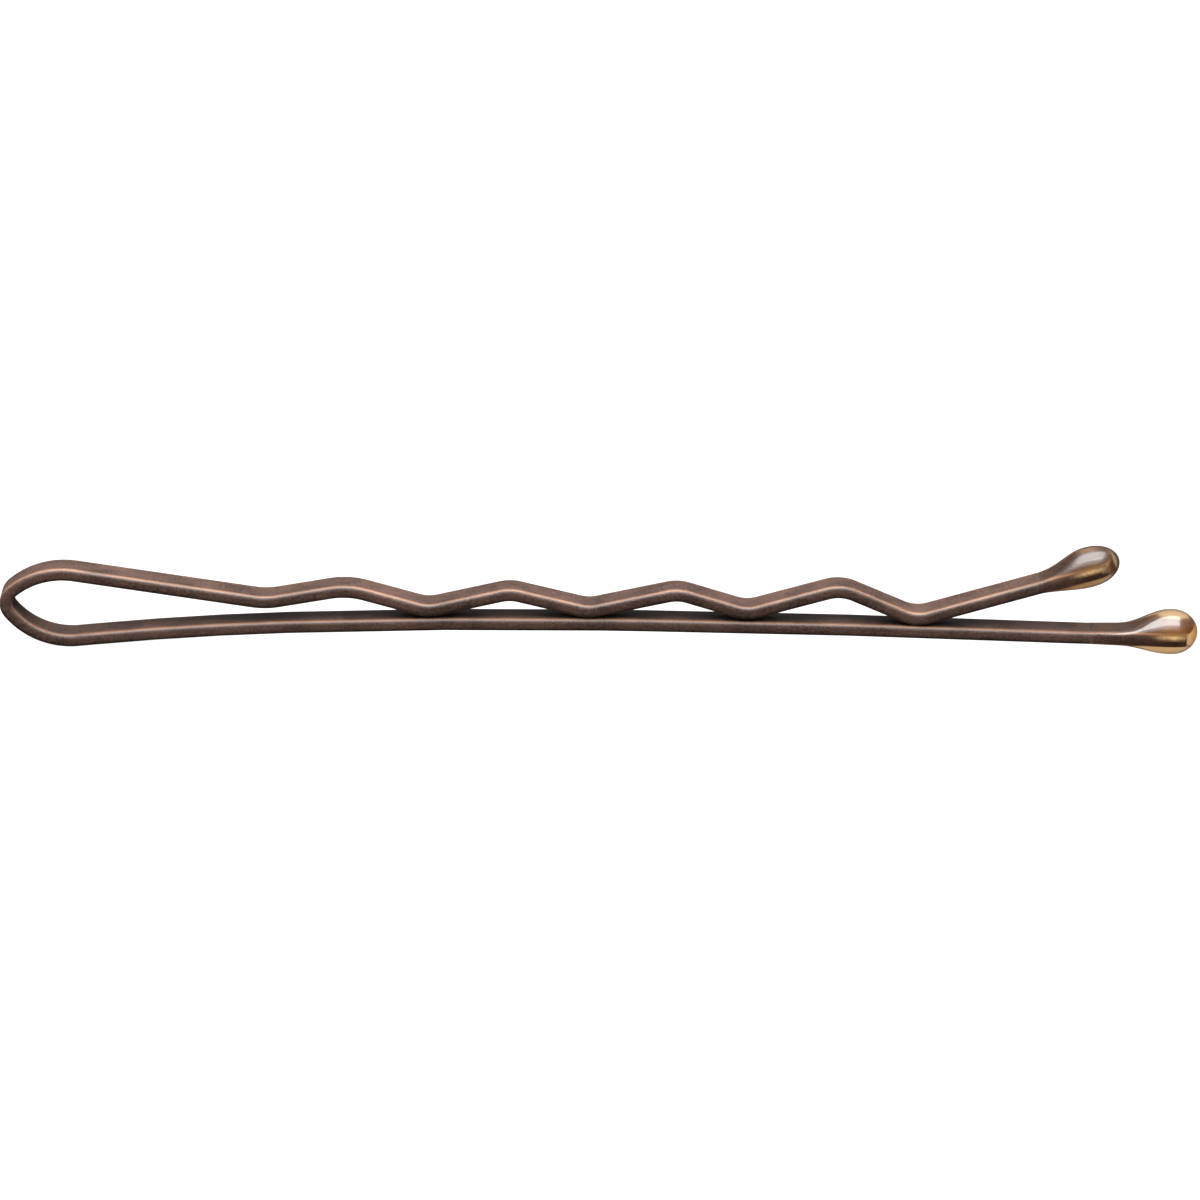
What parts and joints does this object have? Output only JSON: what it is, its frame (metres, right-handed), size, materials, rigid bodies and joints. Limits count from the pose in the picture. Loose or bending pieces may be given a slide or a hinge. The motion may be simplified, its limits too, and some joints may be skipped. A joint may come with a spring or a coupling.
{
  "type": "bobby pin",
  "caption": "Flat spring-wire hair pin with a drop-shaped loop, a bowed lower leg, a waved upper leg that springs open, and resin ball tips.",
  "frame": {"origin": "middle of the length and of the width, on the plane that the loop's lower shoulder and the lower ball stand on", "axes": "+X from the loop towards the ball tips, +Y along the width of the wire, +Z from the lower leg to the upper leg"},
  "size_m": [0.0508, 0.002, 0.0047],
  "materials": {
    "enamelled_spring_steel": "satin brown enamel",
    "amber_resin": "clear glossy amber"
  },
  "bodies": {
    "lower": {"lower_leg": "enamelled_spring_steel", "spring_loop": "enamelled_spring_steel", "lower_tip": "amber_resin"},
    "upper": {"upper_leg": "enamelled_spring_steel", "upper_tip": "amber_resin"}
  },
  "joints": [
    {"name": "leg_opening", "type": "hinge", "parent": "lower", "child": "upper", "pos_m": [-0.02445, 0, 0.0019], "axis": [0, -1, 0], "range_deg": [0, 12], "stiffness_Nm_per_rad": 0.187, "deforming": ["spring_loop"]}
  ]
}
